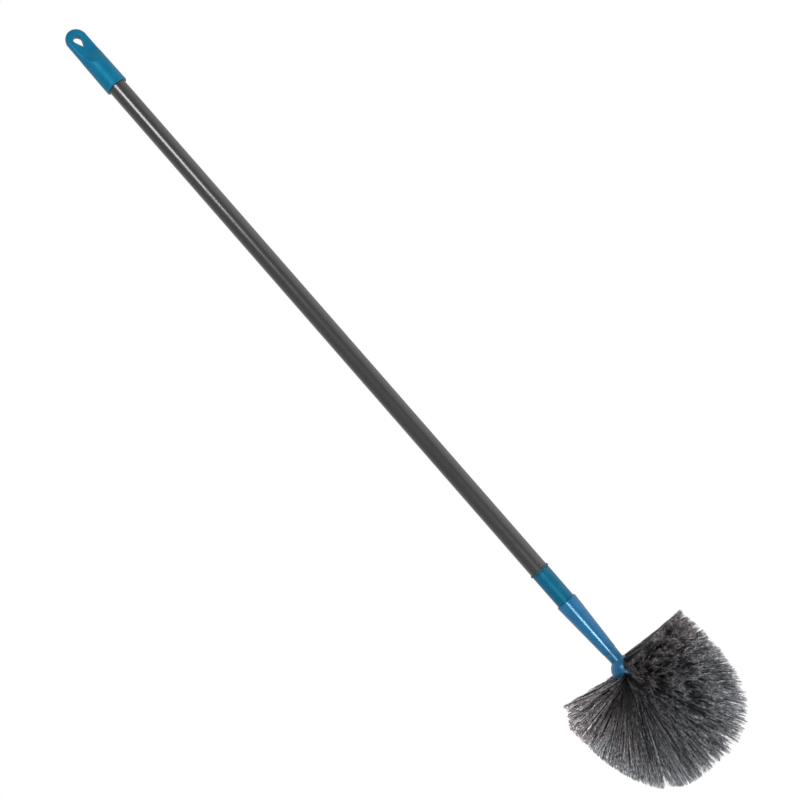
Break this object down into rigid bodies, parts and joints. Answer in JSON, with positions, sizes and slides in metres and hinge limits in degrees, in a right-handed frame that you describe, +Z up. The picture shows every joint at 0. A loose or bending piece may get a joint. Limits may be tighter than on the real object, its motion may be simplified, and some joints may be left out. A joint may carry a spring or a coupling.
{
  "type": "cobweb brush",
  "caption": "Cobweb brush: a domed head of soft grey bristles around a ball hub, on a tapered blue stem and a twist-lock telescopic pole with a hanging cap.",
  "frame": {"origin": "centre of the round part of the hanging eye, on the pole's axis", "axes": "+Z up along the pole from the brush to the eye, +Y along the eye's hole; the brush hangs down from the eye with the pole pushed together"},
  "size_m": [0.1807, 0.1796, 1.1045],
  "materials": {
    "grip_teal": "satin moulded teal-blue plastic",
    "pole_grey": "satin dark grey paint on steel tube",
    "bush_navy": "satin dark plastic",
    "inner_steel": "light grey satin coat on steel tube",
    "lock_natural": "natural nylon",
    "lock_black": "black nylon",
    "tip_teal": "satin moulded teal-blue plastic",
    "stem_blue": "glossy moulded blue plastic",
    "hub_blue": "glossy moulded blue plastic",
    "anchor_steel": "plain steel wire",
    "bristle_grey": "fine crimped grey filaments with flagged tips"
  },
  "bodies": {
    "pole": {"hang_cap": "grip_teal", "outer_tube": "pole_grey", "mouth_bush": "bush_navy"},
    "lock": {"lock_collet": "lock_black"},
    "inner_pole": {"inner_tube": "inner_steel", "lock_spindle": "lock_natural", "threaded_tip": "tip_teal", "socket_stem": "stem_blue", "hub": "hub_blue", "anchor_plates": "anchor_steel", "bristle_tuft_01": "bristle_grey", "bristle_tuft_02": "bristle_grey", "bristle_tuft_03": "bristle_grey", "bristle_tuft_04": "bristle_grey", "bristle_tuft_05": "bristle_grey", "bristle_tuft_06": "bristle_grey", "bristle_tuft_07": "bristle_grey", "bristle_tuft_08": "bristle_grey", "bristle_tuft_09": "bristle_grey", "bristle_tuft_10": "bristle_grey", "bristle_tuft_11": "bristle_grey", "bristle_tuft_12": "bristle_grey", "bristle_tuft_13": "bristle_grey", "bristle_tuft_14": "bristle_grey", "bristle_tuft_15": "bristle_grey", "bristle_tuft_16": "bristle_grey", "bristle_tuft_17": "bristle_grey", "bristle_tuft_18": "bristle_grey", "bristle_tuft_19": "bristle_grey", "bristle_tuft_20": "bristle_grey", "bristle_tuft_21": "bristle_grey", "bristle_tuft_22": "bristle_grey", "bristle_tuft_23": "bristle_grey", "bristle_tuft_24": "bristle_grey", "bristle_tuft_25": "bristle_grey", "bristle_tuft_26": "bristle_grey", "bristle_tuft_27": "bristle_grey", "bristle_tuft_28": "bristle_grey", "bristle_tuft_29": "bristle_grey", "bristle_tuft_30": "bristle_grey", "bristle_tuft_31": "bristle_grey", "bristle_tuft_32": "bristle_grey", "bristle_tuft_33": "bristle_grey", "bristle_tuft_34": "bristle_grey", "bristle_tuft_35": "bristle_grey", "bristle_tuft_36": "bristle_grey", "bristle_tuft_37": "bristle_grey", "bristle_tuft_38": "bristle_grey", "bristle_tuft_39": "bristle_grey", "bristle_tuft_40": "bristle_grey", "bristle_tuft_41": "bristle_grey", "bristle_tuft_42": "bristle_grey", "bristle_tuft_43": "bristle_grey", "bristle_tuft_44": "bristle_grey", "bristle_tuft_45": "bristle_grey"}
  },
  "joints": [
    {"name": "extension", "type": "slide", "parent": "pole", "child": "lock", "axis": [0, 0, -1], "range_m": [0, 0.6]},
    {"name": "lock_twist", "type": "hinge", "parent": "lock", "child": "inner_pole", "pos_m": [0, 0, -0.15], "axis": [0, 0, 1], "range_deg": [0, 90]}
  ]
}
